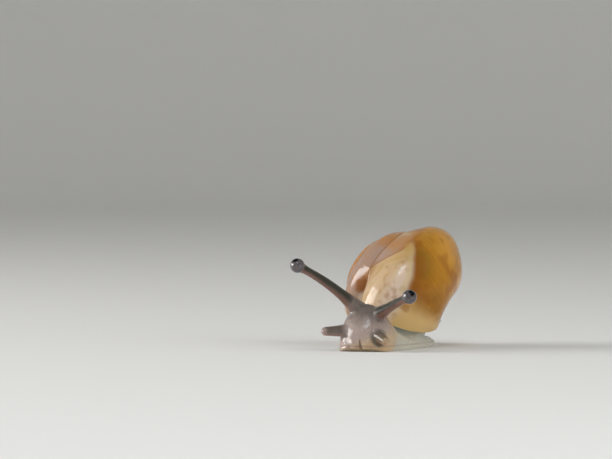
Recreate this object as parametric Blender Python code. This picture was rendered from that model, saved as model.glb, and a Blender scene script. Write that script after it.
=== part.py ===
# A young grove snail, crawling with its feelers out, at life size.
# The animal heads toward -Y and stands on its sole at height zero; its left side is +X.

import math

import bmesh
import bpy
from mathutils import Matrix, Vector

# Sizes are in millimetres and become metres when a mesh is made.
MM = 0.001
GAP = 0.25  # clear space between neighbouring pieces
SHARP_EDGE = math.radians(40)
UNDER_THE_MIDDLE = Vector((-0.12, -0.68, 0.0))  # this point of the floor becomes the origin

# The coil of the shell, measured at its mouth
WHORL_GROWTH = 1.605  # how much wider each whorl is than the one before
SPIRE_GROWTH = 2.36  # how much further below the tip it lies, which makes the spire a dome
WHORLS = 4.0
MOUTH_FROM_AXIS = 2.084
MOUTH_BELOW_APEX = 3.828
MOUTH_HALF_WIDTH = 2.261
MOUTH_HALF_HEIGHT = 1.761
MOUTH_TILT = math.radians(23.8)
NAVEL_BELOW_MOUTH = 1.35
NAVEL_TURN = math.radians(-150)
BASE_BULGE = 0.45  # how far the base of the last whorl hangs below the oval section
BULGE_POWER = 0.76  # below 1 the bulge is fullest in the last half of the whorl
BULGE_ENTRY = 1.5
LIP_SHARE = 0.12  # lip thickness as a share of the way from the rim to the middle of the mouth
MOUTH_DEPTH = 0.06  # in turns
STEPS_PER_WHORL = 32
SEAM_HALVINGS = 40
SEAM_FILL = 0.85  # how far each seam is raised out of the groove between its whorls
SEAM_FADE = 0.06  # in turns, from the lip
GROOVE_RANGE = (math.radians(-20), math.radians(100))
SPIRE_STEPS = 8
BASE_STEPS = 12
CROWN_RISE = 0.10  # height of the cap on the tip

# How the shell is carried
MOUTH_CENTRE = Vector((0.51, -0.20, 1.835))
APEX_LIFT = math.radians(34.8)
APEX_BACK = math.radians(11.75)
LIP_TURN = math.radians(-8.4)

# The body, from the snout to the tip of the tail:
# place along the body, middle, half width, height of the back, height of the underside, fullness
BODY_STATIONS = (
    (-5.38, -0.27, 0.10, 0.82, 0.62, 2.0),
    (-5.30, -0.26, 0.52, 1.08, 0.34, 2.1),
    (-5.12, -0.25, 0.90, 1.48, 0.12, 2.2),
    (-4.80, -0.24, 1.18, 1.98, 0.00, 2.2),
    (-4.30, -0.20, 1.32, 2.34, 0.00, 2.1),
    (-3.60, -0.08, 1.28, 2.02, 0.00, 2.1),
    (-2.80, 0.06, 1.30, 1.22, 0.00, 2.2),
    (-1.80, 0.22, 1.38, 0.84, 0.00, 2.3),
    (0.20, 0.36, 1.42, 0.80, 0.00, 2.5),
    (1.60, 0.42, 1.32, 0.66, 0.00, 2.4),
    (3.00, 0.44, 1.04, 0.46, 0.00, 2.1),
    (4.40, 0.48, 0.70, 0.42, 0.00, 1.9),
    (5.60, 0.54, 0.28, 0.28, 0.00, 1.6),
    (6.00, 0.56, 0.10, 0.12, 0.00, 1.6),
)
BODY_STEPS = 60
BACK_STEPS = 18
SOLE_STEPS = 5
HEAD_BACK = (-3.62, 1.85)  # place and height of the cut behind the head
HEAD_CHIN = (-4.45, 0.0)
NECK_END = -2.40
FOOT_END = 2.30
FOOT_BACK_HEIGHT = 0.70

# Feelers: the root on the head, how far the tip is from it, and how far the middle of a long one is lifted
UPPER_ROOT_RADIUS = 0.32
UPPER_TIP_RADIUS = 0.19
UPPER_FEELERS = {
    "right": (Vector((-0.74, -4.35, 2.16)), Vector((-2.24, -2.65, 2.12)), 0.18),
    "left": (Vector((0.44, -4.35, 1.80)), Vector((2.23, -2.57, 1.00)), 0.06),
}
UPPER_TAPER = 0.7
UPPER_BURIED = 0.3  # length of the stalk that starts inside the head
LOWER_ROOT_RADIUS = 0.33
LOWER_TIP_RADIUS = 0.24
LOWER_FEELERS = {
    "right": (Vector((-1.00, -4.75, 1.02)), Vector((-1.16, -0.84, -0.02))),
    "left": (Vector((0.42, -4.80, 0.86)), Vector((0.82, -0.82, -0.38))),
}
LOWER_BURIED = 0.4
LOWER_ROUND = 0.25  # share of the feeler that its rounded end takes
LOWER_END = 0.35
EYE_RADIUS = 0.36
EYE_CLEARANCE = 0.2
FEELER_STEPS = 9

# The mantle: the share of the mouth that it fills, how far it stands out, and where it stands on the foot
MANTLE_STEPS = 28
MANTLE_SHARE = 0.76
MANTLE_INNER_SHARE = 0.68
MANTLE_COLLAR_SHARE = 0.72
MANTLE_PROUD = 0.02  # in turns, past the lip
MANTLE_CLEARANCE = 0.017  # in turns, before the floor of the mouth
MANTLE_FOOT = (0.40, -0.60, 0.4)
MANTLE_FOOT_HALF_WIDTH = 0.95
MANTLE_FOOT_HALF_LENGTH = 1.25

# The two lips on the front of the head, with the line of the mouth between them
LIP_MIDDLE = Vector((-0.26, -5.16, 0.44))
LIP_SPREAD = 0.30  # from the line of the mouth to the middle of each lip
LIP_SIZE = Vector((0.34, 0.34, 0.36))
MOUTH_LINE_SIZE = Vector((0.10, 0.30, 0.42))


def clear_scene():
    for thing in list(bpy.data.objects):
        bpy.data.objects.remove(thing, do_unlink=True)


def new_collection(name):
    group = bpy.data.collections.new(name)
    bpy.context.scene.collection.children.link(group)
    return group


def make_material(name, colour, roughness):
    finish = bpy.data.materials.new(name)
    finish.use_nodes = True
    shader = finish.node_tree.nodes["Principled BSDF"]
    shader.inputs["Base Color"].default_value = (*colour, 1.0)
    shader.inputs["Roughness"].default_value = roughness
    shader.inputs["Metallic"].default_value = 0.0
    return finish


def add_object(name, bm, finish, group):
    bmesh.ops.recalc_face_normals(bm, faces=bm.faces)
    mesh = bpy.data.meshes.new(name)
    bm.to_mesh(mesh)
    bm.free()
    mesh.shade_smooth()
    mesh.set_sharp_from_angle(angle=SHARP_EDGE)
    mesh.materials.append(finish)
    thing = bpy.data.objects.new(name, mesh)
    thing.location = -UNDER_THE_MIDDLE * MM
    group.objects.link(thing)
    return thing


def loft(rings):
    """Skin a row of rings of equal count and close both ends."""
    bm = bmesh.new()
    rows = [[bm.verts.new(point * MM) for point in ring] for ring in rings]
    count = len(rows[0])
    for row, following in zip(rows, rows[1:]):
        for i in range(count):
            j = (i + 1) % count
            bm.faces.new((row[i], row[j], following[j], following[i]))
    bm.faces.new(rows[0])
    bm.faces.new(rows[-1])
    return bm


# The shell is one widening coil, carried with its tip up, to the right and back.
def shell_axes():
    level = math.cos(APEX_LIFT)
    apex = Vector((-level * math.cos(APEX_BACK), level * math.sin(APEX_BACK), math.sin(APEX_LIFT)))
    down = Vector((0, 0, -1)) - apex * -apex.z
    down.normalize()
    forward = apex.cross(down)
    growth = down * math.cos(LIP_TURN) + forward * math.sin(LIP_TURN)
    outward = apex.cross(growth)
    return outward, -growth, apex


def coil_place(turn, radius, rise):
    """A point of the section at a turn, before the coil is carried; turns are below 0 behind the mouth."""
    size = WHORL_GROWTH ** turn
    angle = -turn * math.tau
    height = rise * size - MOUTH_BELOW_APEX * SPIRE_GROWTH ** turn
    return Vector((radius * size * math.cos(angle), radius * size * math.sin(angle), height))


def carry_shell():
    outward, backward, apex = shell_axes()
    turning = Matrix((outward, backward, apex)).transposed()
    tip = MOUTH_CENTRE - turning @ coil_place(0.0, MOUTH_FROM_AXIS, 0.0)
    return turning, tip


def section_point(around):
    """Distance from the axis and rise above the middle, for an angle on the whorl's oval section."""
    across = MOUTH_HALF_WIDTH * math.cos(around)
    along = MOUTH_HALF_HEIGHT * math.sin(around)
    radius = MOUTH_FROM_AXIS + across * math.cos(MOUTH_TILT) - along * math.sin(MOUTH_TILT)
    rise = across * math.sin(MOUTH_TILT) + along * math.cos(MOUTH_TILT)
    return radius, rise


def section_normal(around):
    """The way out of the oval section at an angle, not of unit length."""
    across = -MOUTH_HALF_WIDTH * math.sin(around)
    along = MOUTH_HALF_HEIGHT * math.cos(around)
    out = across * math.sin(MOUTH_TILT) + along * math.cos(MOUTH_TILT)
    rise = along * math.sin(MOUTH_TILT) - across * math.cos(MOUTH_TILT)
    return Vector((out, rise))


def section_share(radius, rise):
    """Below 1 inside the oval section, above 1 outside it, and the angle there."""
    right = radius - MOUTH_FROM_AXIS
    across = (right * math.cos(MOUTH_TILT) + rise * math.sin(MOUTH_TILT)) / MOUTH_HALF_WIDTH
    along = (rise * math.cos(MOUTH_TILT) - right * math.sin(MOUTH_TILT)) / MOUTH_HALF_HEIGHT
    return math.hypot(across, along), math.atan2(along, across)


def measured_at(other, turn, radius, rise):
    """A point of the section at a turn, in the measures of a section whole whorls away."""
    size = WHORL_GROWTH ** (turn - other)
    lift = SPIRE_GROWTH ** other - SPIRE_GROWTH ** turn
    return radius * size, rise * size + MOUTH_BELOW_APEX * lift / WHORL_GROWTH ** other


def seam_above(turn):
    """The angle at which the whorl comes to lie on the one before it."""
    def clear(around):
        return section_share(*measured_at(turn - 1, turn, *section_point(around)))[0] > 1

    step = math.radians(1)
    low = 0.0
    while clear(low + step):
        low += step
    high = low + step
    for _ in range(SEAM_HALVINGS):
        middle = (low + high) / 2
        if clear(middle):
            low = middle
        else:
            high = middle
    return low


def seam_below(turn):
    """The angle at which the next whorl lies on this one, kept as it is at the mouth along the last whorl."""
    turn = min(turn, -1.0)
    return section_share(*measured_at(turn, turn + 1, *section_point(seam_above(turn + 1))))[1]


def groove_shoulder(turn):
    """The angle at which a line laid across the groove above the whorl touches the whorls on both sides."""
    low, high = GROOVE_RANGE
    for _ in range(SEAM_HALVINGS):
        middle = (low + high) / 2
        point = section_point(middle)
        across = Vector(point) - Vector(measured_at(turn, turn - 1, *point))
        if section_normal(middle).dot(across) > 0:
            low = middle
        else:
            high = middle
    return low


def groove_fill(turn):
    """Where the groove above the whorl begins, and how far the seam in it is raised; nothing at the lip."""
    shoulder = groove_shoulder(turn)
    way = section_normal(shoulder).normalized()
    seam = Vector(section_point(seam_above(turn)))
    depth = (Vector(section_point(shoulder)) - seam).dot(way)
    return shoulder, way * depth * SEAM_FILL * min(1.0, max(0.0, -turn / SEAM_FADE))


def base_bulge(turn):
    """How far the base hangs below the oval section at a turn of the last whorl, nothing at its two ends."""
    return BASE_BULGE * math.sin(math.pi * min(1.0, -turn) ** BULGE_POWER)


def whorl_profile(turn):
    """The outside of one whorl, from the seam above it to the seam below, and on to the navel."""
    upper, lower = seam_above(turn), seam_below(turn)
    shoulder_above, lift_above = groove_fill(turn)
    shoulder_below, lift_below = groove_fill(min(turn + 1, 0.0))
    spire = []
    for i in range(SPIRE_STEPS + 1):
        around = upper + (lower - upper) * i / SPIRE_STEPS
        point = Vector(section_point(around))
        point += lift_above * max(0.0, (around - shoulder_above) / (upper - shoulder_above)) ** 2
        near_below = max(0.0, (shoulder_below - around) / (shoulder_below - lower))
        point += lift_below * WHORL_GROWTH * near_below ** 2
        spire.append(tuple(point))
    base = []
    for i in range(1, BASE_STEPS + 1):
        share = i / BASE_STEPS
        radius, rise = section_point(lower + (NAVEL_TURN - lower) * share)
        entry = math.sin(math.pi / 2 * min(1.0, share * BULGE_ENTRY)) ** 2
        base.append((radius, rise - base_bulge(turn) * entry))
    return spire, base + [navel_point(turn)]


def navel_point(turn):
    return 0.0, -NAVEL_BELOW_MOUTH - base_bulge(turn)


def mouth_outline():
    """The mouth between the last whorl and the one before it, as distances from the axis and rises."""
    spire, base = whorl_profile(0.0)
    outer = spire + base
    turns = [-i / STEPS_PER_WHORL for i in range(1, STEPS_PER_WHORL)]
    axis = [measured_at(0.0, turn, *navel_point(turn)) for turn in turns]
    inner = [measured_at(0.0, -1.0, *point) for point in reversed(whorl_profile(-1.0)[1])]
    return outer, axis, inner


def outline_middle(outline):
    radius = sum(point[0] for point in outline) / len(outline)
    height = sum(point[1] for point in outline) / len(outline)
    return radius, height


def shrink(outline, share):
    middle = outline_middle(outline)
    return [(middle[0] + (r - middle[0]) * share, middle[1] + (h - middle[1]) * share) for r, h in outline]


def build_shell(finish, group):
    turning, tip = carry_shell()
    bm = bmesh.new()

    def corner(turn, radius, rise):
        return bm.verts.new((turning @ coil_place(turn, radius, rise) + tip) * MM)

    steps = round(WHORLS * STEPS_PER_WHORL)
    turns = [(i - steps) / STEPS_PER_WHORL for i in range(steps + 1)]
    profiles = [whorl_profile(turn) for turn in turns]
    rows = [[corner(turn, *point) for point in spire[:-1]] for turn, (spire, base) in zip(turns, profiles)]
    for i, row in enumerate(rows):
        next_whorl = i + STEPS_PER_WHORL
        if next_whorl <= steps:
            row.append(rows[next_whorl][0])
        else:
            row.append(corner(turns[i], *profiles[i][0][-1]))
    last_whorl = steps - STEPS_PER_WHORL
    for i in range(last_whorl, steps + 1):
        rows[i] += [corner(turns[i], *point) for point in profiles[i][1]]
    for i in range(steps):
        row, following = rows[i], rows[i + 1]
        for j in range(min(len(row), len(following)) - 1):
            bm.faces.new((row[j], row[j + 1], following[j + 1], following[j]))

    # a small dome closes the tip
    rim = [rows[i][0] for i in range(STEPS_PER_WHORL + 1)] + rows[0][-2:0:-1]
    middle = sum((v.co for v in rim), Vector()) / len(rim)
    crown = bm.verts.new(middle + turning @ Vector((0, 0, CROWN_RISE * MM)))
    for i, vert in enumerate(rim):
        bm.faces.new((vert, rim[(i + 1) % len(rim)], crown))

    # the mouth is a shallow hollow behind the lip
    rim = rows[-1] + [rows[i][-1] for i in range(steps - 1, last_whorl, -1)]
    rim += list(reversed(rows[last_whorl][SPIRE_STEPS + 1:]))
    outer, axis, inner = mouth_outline()
    outline = shrink(outer + axis + inner, 1 - LIP_SHARE)
    front = [corner(0.0, *point) for point in outline]
    floor = [corner(-MOUTH_DEPTH, *point) for point in outline]
    for ring, following in ((rim, front), (front, floor)):
        for i in range(len(ring)):
            j = (i + 1) % len(ring)
            bm.faces.new((ring[i], ring[j], following[j], following[i]))
    bm.faces.new(floor)
    return add_object("shell", bm, finish, group)


# The mantle fills the mouth of the shell and comes down on to the back of the foot.
def even_outline(outline, count):
    """The same closed outline with its points evenly spaced."""
    corners = [Vector(point) for point in outline]
    closed = corners + corners[:1]
    lengths = [(b - a).length for a, b in zip(closed, closed[1:])]
    total = sum(lengths)
    result = []
    segment, passed = 0, 0.0
    for i in range(count):
        wanted = total * i / count
        while passed + lengths[segment] < wanted:
            passed += lengths[segment]
            segment += 1
        share = (wanted - passed) / lengths[segment]
        result.append(tuple(closed[segment].lerp(closed[segment + 1], share)))
    return result


def build_mantle(finish, group):
    turning, tip = carry_shell()
    outer, axis, inner = mouth_outline()
    outline = even_outline(outer + axis + inner, MANTLE_STEPS)

    def ring(turn, share):
        return [turning @ coil_place(turn, *point) + tip for point in shrink(outline, share)]

    rings = [ring(-MOUTH_DEPTH + MANTLE_CLEARANCE, MANTLE_INNER_SHARE)]
    rings += [ring(turn, MANTLE_SHARE) for turn in (-MOUTH_DEPTH / 2, 0.0)]
    collar = ring(MANTLE_PROUD, MANTLE_COLLAR_SHARE)
    rings.append(collar)
    middle = Vector(MANTLE_FOOT)
    foot = []
    for point in collar:
        angle = math.atan2(point.y - middle.y, point.x - middle.x)
        across = MANTLE_FOOT_HALF_WIDTH * math.cos(angle)
        along = MANTLE_FOOT_HALF_LENGTH * math.sin(angle)
        foot.append(middle + Vector((across, along, 0)))
    rings.append([a.lerp(b, 0.5) for a, b in zip(collar, foot)])
    rings.append(foot)
    bm = loft(rings)
    trim(bm, Vector((0, 0, FOOT_BACK_HEIGHT + GAP)), Vector((0, 0, -1)))
    return add_object("mantle", bm, finish, group)


# The body is one long form, parted into head, neck, foot and tail by flat cuts.
def body_sizes(place):
    """Middle, half width, back height, underside height and fullness at a place along the body."""
    stations = BODY_STATIONS
    i = 1
    while i < len(stations) - 2 and stations[i + 1][0] < place:
        i += 1
    last = len(stations) - 1
    before, start, end, after = (stations[min(i + k, last)] for k in (-1, 0, 1, 2))
    if place < start[0]:
        before, start, end, after = stations[0], stations[0], stations[1], stations[2]
    span = end[0] - start[0]
    share = (place - start[0]) / span
    sizes = []
    for k in range(1, len(start)):
        slope_in = (end[k] - before[k]) / (end[0] - before[0]) * span
        slope_out = (after[k] - start[k]) / (after[0] - start[0]) * span
        square, cube = share ** 2, share ** 3
        sizes.append((2 * cube - 3 * square + 1) * start[k] + (cube - 2 * square + share) * slope_in
                     + (3 * square - 2 * cube) * end[k] + (cube - square) * slope_out)
    return sizes


def body_ring(place):
    middle, half_width, back, belly, fullness = body_sizes(place)
    ring = []
    for i in range(BACK_STEPS + 1):
        angle = math.pi * i / BACK_STEPS
        across = math.copysign(abs(math.cos(angle)) ** (2 / fullness), math.cos(angle))
        up = abs(math.sin(angle)) ** (2 / fullness)
        ring.append(Vector((middle + half_width * across, place, belly + (back - belly) * up)))
    for i in range(1, SOLE_STEPS):
        ring.append(Vector((middle + half_width * (2 * i / SOLE_STEPS - 1), place, belly)))
    return ring


def body_form():
    start, end = BODY_STATIONS[0][0], BODY_STATIONS[-1][0]
    middle, half = (start + end) / 2, (end - start) / 2
    places = [middle - half * math.cos(math.pi * i / BODY_STEPS) for i in range(BODY_STEPS + 1)]
    return loft([body_ring(place) for place in places])


def trim(bm, point, outward):
    """Cut the form by a plane, drop the side that the normal points to, and close the cut."""
    bmesh.ops.bisect_plane(bm, geom=bm.verts[:] + bm.edges[:] + bm.faces[:], dist=1e-7,
                           plane_co=point * MM, plane_no=outward, clear_outer=True)
    rim = [edge for edge in bm.edges if edge.is_boundary]
    bmesh.ops.holes_fill(bm, edges=rim, sides=0)


def head_cut():
    """A point on the cut behind the head, and the way back from it."""
    back, chin = Vector((0, *HEAD_BACK)), Vector((0, *HEAD_CHIN))
    outward = Vector((1, 0, 0)).cross(back - chin)
    outward.normalize()
    return chin, outward if outward.y > 0 else -outward


def build_head(finish, group):
    bm = body_form()
    point, outward = head_cut()
    trim(bm, point, outward)
    return add_object("head", bm, finish, group)


def rounded_piece(name, middle, size, group):
    """A closed ball stretched to a half size along each axis."""
    bm = bmesh.new()
    bmesh.ops.create_uvsphere(bm, u_segments=16, v_segments=10, radius=1.0)
    bmesh.ops.scale(bm, verts=bm.verts, vec=size * MM)
    bmesh.ops.translate(bm, verts=bm.verts, vec=middle * MM)
    mesh = bpy.data.meshes.new(name)
    bm.to_mesh(mesh)
    bm.free()
    piece = bpy.data.objects.new(name, mesh)
    piece.location = -UNDER_THE_MIDDLE * MM
    group.objects.link(piece)
    return piece


def add_mouth(head, group):
    """Fuse two lips to the head and cut the line of the mouth between them."""
    lips = bpy.data.collections.new("lips")
    group.children.link(lips)
    for side in (-1, 1):
        rounded_piece("lip", LIP_MIDDLE + Vector((side * LIP_SPREAD, 0, 0)), LIP_SIZE, lips)
    front = LIP_MIDDLE - Vector((0, LIP_SIZE.y, 0))
    line = rounded_piece("mouth_line", front, MOUTH_LINE_SIZE, group)
    fuse = head.modifiers.new("lips", "BOOLEAN")
    fuse.operation = "UNION"
    fuse.operand_type = "COLLECTION"
    fuse.collection = lips
    cut_with(head, line)
    graph = bpy.context.evaluated_depsgraph_get()
    mesh = bpy.data.meshes.new_from_object(head.evaluated_get(graph))
    head.modifiers.clear()
    head.data = mesh
    for piece in [*lips.objects, line]:
        bpy.data.objects.remove(piece, do_unlink=True)
    bpy.data.collections.remove(lips)


def build_neck(finish, group):
    bm = body_form()
    point, outward = head_cut()
    trim(bm, point + outward * GAP, -outward)
    trim(bm, Vector((0, NECK_END, 0)), Vector((0, 1, 0)))
    return add_object("neck", bm, finish, group)


def build_foot(finish, group):
    bm = body_form()
    trim(bm, Vector((0, NECK_END + GAP, 0)), Vector((0, -1, 0)))
    trim(bm, Vector((0, FOOT_END, 0)), Vector((0, 1, 0)))
    trim(bm, Vector((0, 0, FOOT_BACK_HEIGHT)), Vector((0, 0, 1)))
    return add_object("foot", bm, finish, group)


def build_tail(finish, group):
    bm = body_form()
    trim(bm, Vector((0, FOOT_END + GAP, 0)), Vector((0, -1, 0)))
    return add_object("tail", bm, finish, group)


# Feelers are tapered tubes rooted on the head.
def feeler_tube(name, points, radii, finish, group):
    """A tube along points with a radius at each, as a closed mesh."""
    curve = bpy.data.curves.new(name, "CURVE")
    curve.dimensions = "3D"
    curve.bevel_depth = 1.0
    curve.bevel_resolution = 3
    curve.use_fill_caps = True
    spline = curve.splines.new("POLY")
    spline.points.add(len(points) - 1)
    for knot, point, radius in zip(spline.points, points, radii):
        knot.co = (*(point * MM), 1.0)
        knot.radius = radius * MM
    guide = bpy.data.objects.new(name + "_guide", curve)
    group.objects.link(guide)
    graph = bpy.context.evaluated_depsgraph_get()
    mesh = bpy.data.meshes.new_from_object(guide.evaluated_get(graph))
    bpy.data.objects.remove(guide, do_unlink=True)
    bpy.data.curves.remove(curve)
    bm = bmesh.new()
    bm.from_mesh(mesh)
    bpy.data.meshes.remove(mesh)
    bmesh.ops.remove_doubles(bm, verts=bm.verts, dist=1e-7)
    return add_object(name, bm, finish, group)


def swollen_copy(thing, clearance, group):
    """The same form moved outward all over, for cutting what grows from it."""
    bm = bmesh.new()
    bm.from_mesh(thing.data)
    bm.normal_update()
    for vert, normal in [(v, v.normal.copy()) for v in bm.verts]:
        vert.co += normal * clearance * MM
    mesh = bpy.data.meshes.new(thing.name + "_clearance")
    bm.to_mesh(mesh)
    bm.free()
    cutter = bpy.data.objects.new(mesh.name, mesh)
    cutter.location = thing.location
    cutter.hide_render = True
    cutter.display_type = "WIRE"
    group.objects.link(cutter)
    return cutter


def cut_with(thing, cutter):
    cut = thing.modifiers.new("clear of " + cutter.name, "BOOLEAN")
    cut.operation = "DIFFERENCE"
    cut.object = cutter


def bent_line(start, reach, lift):
    """Points from a start along a reach, lifted in the middle like a held-out feeler."""
    points = []
    for i in range(FEELER_STEPS + 1):
        share = i / FEELER_STEPS
        points.append(start + reach * share + Vector((0, 0, lift * math.sin(math.pi * share))))
    return points


def build_upper_feeler(side, finish, group, head_clearance):
    root, reach, lift = UPPER_FEELERS[side]
    along = reach.normalized()
    length = reach - along * (EYE_RADIUS + EYE_CLEARANCE)
    points = bent_line(root - along * UPPER_BURIED, length + along * UPPER_BURIED, lift)
    radii = []
    for i in range(FEELER_STEPS + 1):
        share = (i / FEELER_STEPS) ** UPPER_TAPER
        radii.append(UPPER_ROOT_RADIUS + (UPPER_TIP_RADIUS - UPPER_ROOT_RADIUS) * share)
    feeler = feeler_tube("upper_feeler_" + side, points, radii, finish, group)
    cut_with(feeler, head_clearance)


def build_eye(side, finish, group):
    root, reach, _ = UPPER_FEELERS[side]
    bm = bmesh.new()
    bmesh.ops.create_uvsphere(bm, u_segments=16, v_segments=10, radius=EYE_RADIUS * MM)
    bmesh.ops.translate(bm, verts=bm.verts, vec=(root + reach) * MM)
    add_object("eye_" + side, bm, finish, group)


def build_lower_feeler(side, finish, group, head_clearance):
    root, reach = LOWER_FEELERS[side]
    along = reach.normalized()
    points = bent_line(root - along * LOWER_BURIED, reach + along * LOWER_BURIED, 0.0)
    radii = []
    for i in range(FEELER_STEPS + 1):
        share = i / FEELER_STEPS
        radius = LOWER_ROOT_RADIUS + (LOWER_TIP_RADIUS - LOWER_ROOT_RADIUS) * share
        left = 1 - share
        if left < LOWER_ROUND:
            radius *= max(LOWER_END, math.sqrt(1 - (1 - left / LOWER_ROUND) ** 2))
        radii.append(radius)
    feeler = feeler_tube("lower_feeler_" + side, points, radii, finish, group)
    cut_with(feeler, head_clearance)


clear_scene()
snail = new_collection("grove_snail")
cutters = new_collection("cutters")
shell_finish = make_material("shell_amber", (0.50, 0.25, 0.07), 0.25)
skin_finish = make_material("skin_grey", (0.25, 0.20, 0.17), 0.35)
sole_finish = make_material("foot_cream", (0.50, 0.48, 0.40), 0.4)
eye_finish = make_material("eye_dark", (0.10, 0.08, 0.08), 0.15)
build_shell(shell_finish, snail)
build_mantle(sole_finish, snail)
head = build_head(skin_finish, snail)
build_neck(skin_finish, snail)
build_foot(sole_finish, snail)
build_tail(sole_finish, snail)
head_clearance = swollen_copy(head, GAP, cutters)
add_mouth(head, cutters)
for side in ("left", "right"):
    build_upper_feeler(side, skin_finish, snail, head_clearance)
    build_eye(side, eye_finish, snail)
    build_lower_feeler(side, skin_finish, snail, head_clearance)
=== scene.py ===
# A young grove snail crawling with its feelers out, dressed around its solid model.
import math

import bmesh
import bpy
from mathutils import Matrix, Vector, noise


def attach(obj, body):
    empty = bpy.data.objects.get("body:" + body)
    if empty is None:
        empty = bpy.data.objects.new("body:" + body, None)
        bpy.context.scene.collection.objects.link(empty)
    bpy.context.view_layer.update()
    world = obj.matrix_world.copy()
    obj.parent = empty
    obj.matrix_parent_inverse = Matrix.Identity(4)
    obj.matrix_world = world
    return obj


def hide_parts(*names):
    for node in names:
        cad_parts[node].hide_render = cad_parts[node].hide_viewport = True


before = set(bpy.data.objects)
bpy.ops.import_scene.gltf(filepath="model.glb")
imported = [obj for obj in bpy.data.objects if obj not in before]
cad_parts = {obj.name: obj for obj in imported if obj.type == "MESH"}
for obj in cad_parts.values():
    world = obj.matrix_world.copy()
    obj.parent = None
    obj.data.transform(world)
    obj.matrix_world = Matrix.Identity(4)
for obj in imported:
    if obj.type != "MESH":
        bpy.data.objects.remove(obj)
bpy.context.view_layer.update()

# The shell
# A wall of see-through amber horn, thinner than paper, laid down at the lip as one widening coil.
# The young animal's pale mantle and brown liver show through it, and a wet skin of its own makes it shine.
MM = 0.001
UNDER_THE_MIDDLE = Vector((-0.12, -0.68, 0.0))  # this point of the floor is the origin
WHORL_GROWTH = 1.605  # how much wider each whorl is than the one before
SPIRE_GROWTH = 2.36  # how much further below the tip it lies
WHORLS = 4.75
MOUTH_FROM_AXIS = 2.084
MOUTH_BELOW_APEX = 3.828
MOUTH_HALF_WIDTH = 2.261
MOUTH_HALF_HEIGHT = 1.761
MOUTH_TILT = math.radians(23.8)
NAVEL_BELOW_MOUTH = 1.35
NAVEL_TURN = math.radians(-150)
BASE_BULGE = 0.45  # how far the base of the last whorl hangs below the oval section
BULGE_POWER = 0.76  # below 1 the bulge is fullest in the last half of the whorl
BULGE_ENTRY = 1.5
LIP_SHARE = 0.05  # lip thickness as a share of the way from the rim to the middle of the mouth
LIP_EDGE = math.radians(50)  # the wall is shaded sharp where it turns by more
MOUTH_DEPTH = 0.06  # in turns
STEPS_PER_WHORL = 200
SPIRE_STEPS = 30
BASE_STEPS = 44
SEAM_HALVINGS = 40
SEAM_FILL = 0.85  # how far each seam is raised out of the groove between its whorls
SEAM_FADE = 0.06  # in turns, from the lip
GROOVE_RANGE = (math.radians(-20), math.radians(100))
SEAM_LINE = 0.045  # depth of the fine line where two whorls meet
CROWN_RISE = 0.05
MOUTH_CENTRE = Vector((0.51, -0.20, 1.835))
APEX_LIFT = math.radians(34.8)
APEX_BACK = math.radians(11.75)
LIP_TURN = math.radians(-8.4)


def shell_axes():
    level = math.cos(APEX_LIFT)
    apex = Vector((-level * math.cos(APEX_BACK), level * math.sin(APEX_BACK), math.sin(APEX_LIFT)))
    down = Vector((0, 0, -1)) - apex * -apex.z
    down.normalize()
    forward = apex.cross(down)
    growth = down * math.cos(LIP_TURN) + forward * math.sin(LIP_TURN)
    return apex.cross(growth), -growth, apex


def coil_place(turn, radius, rise):
    """A point of the section at a turn, before the coil is carried; turns are below 0 behind the mouth."""
    size = WHORL_GROWTH ** turn
    angle = -turn * math.tau
    height = rise * size - MOUTH_BELOW_APEX * SPIRE_GROWTH ** turn
    return Vector((radius * size * math.cos(angle), radius * size * math.sin(angle), height))


def section_point(around):
    """Distance from the axis and rise above the middle, for an angle on the whorl's oval section."""
    across = MOUTH_HALF_WIDTH * math.cos(around)
    along = MOUTH_HALF_HEIGHT * math.sin(around)
    radius = MOUTH_FROM_AXIS + across * math.cos(MOUTH_TILT) - along * math.sin(MOUTH_TILT)
    rise = across * math.sin(MOUTH_TILT) + along * math.cos(MOUTH_TILT)
    return radius, rise


def section_normal(around):
    """The way out of the oval section at an angle, not of unit length."""
    across = -MOUTH_HALF_WIDTH * math.sin(around)
    along = MOUTH_HALF_HEIGHT * math.cos(around)
    out = across * math.sin(MOUTH_TILT) + along * math.cos(MOUTH_TILT)
    rise = along * math.sin(MOUTH_TILT) - across * math.cos(MOUTH_TILT)
    return Vector((out, rise))


def section_share(radius, rise):
    """Below 1 inside the oval section, above 1 outside it, and the angle there."""
    right = radius - MOUTH_FROM_AXIS
    across = (right * math.cos(MOUTH_TILT) + rise * math.sin(MOUTH_TILT)) / MOUTH_HALF_WIDTH
    along = (rise * math.cos(MOUTH_TILT) - right * math.sin(MOUTH_TILT)) / MOUTH_HALF_HEIGHT
    return math.hypot(across, along), math.atan2(along, across)


def measured_at(other, turn, radius, rise):
    """A point of the section at a turn, in the measures of a section whole whorls away."""
    size = WHORL_GROWTH ** (turn - other)
    lift = SPIRE_GROWTH ** other - SPIRE_GROWTH ** turn
    return radius * size, rise * size + MOUTH_BELOW_APEX * lift / WHORL_GROWTH ** other


def seam_above(turn):
    """The angle at which the whorl comes to lie on the one before it."""
    def clear(around):
        return section_share(*measured_at(turn - 1, turn, *section_point(around)))[0] > 1

    step = math.radians(1)
    low = 0.0
    while clear(low + step):
        low += step
    high = low + step
    for _ in range(SEAM_HALVINGS):
        middle = (low + high) / 2
        if clear(middle):
            low = middle
        else:
            high = middle
    return low


def seam_below(turn):
    """The angle at which the next whorl lies on this one, kept as it is at the mouth along the last whorl."""
    turn = min(turn, -1.0)
    return section_share(*measured_at(turn, turn + 1, *section_point(seam_above(turn + 1))))[1]


def groove_shoulder(turn):
    """The angle at which a line laid across the groove above the whorl touches the whorls on both sides."""
    low, high = GROOVE_RANGE
    for _ in range(SEAM_HALVINGS):
        middle = (low + high) / 2
        point = section_point(middle)
        across = Vector(point) - Vector(measured_at(turn, turn - 1, *point))
        if section_normal(middle).dot(across) > 0:
            low = middle
        else:
            high = middle
    return low


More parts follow.
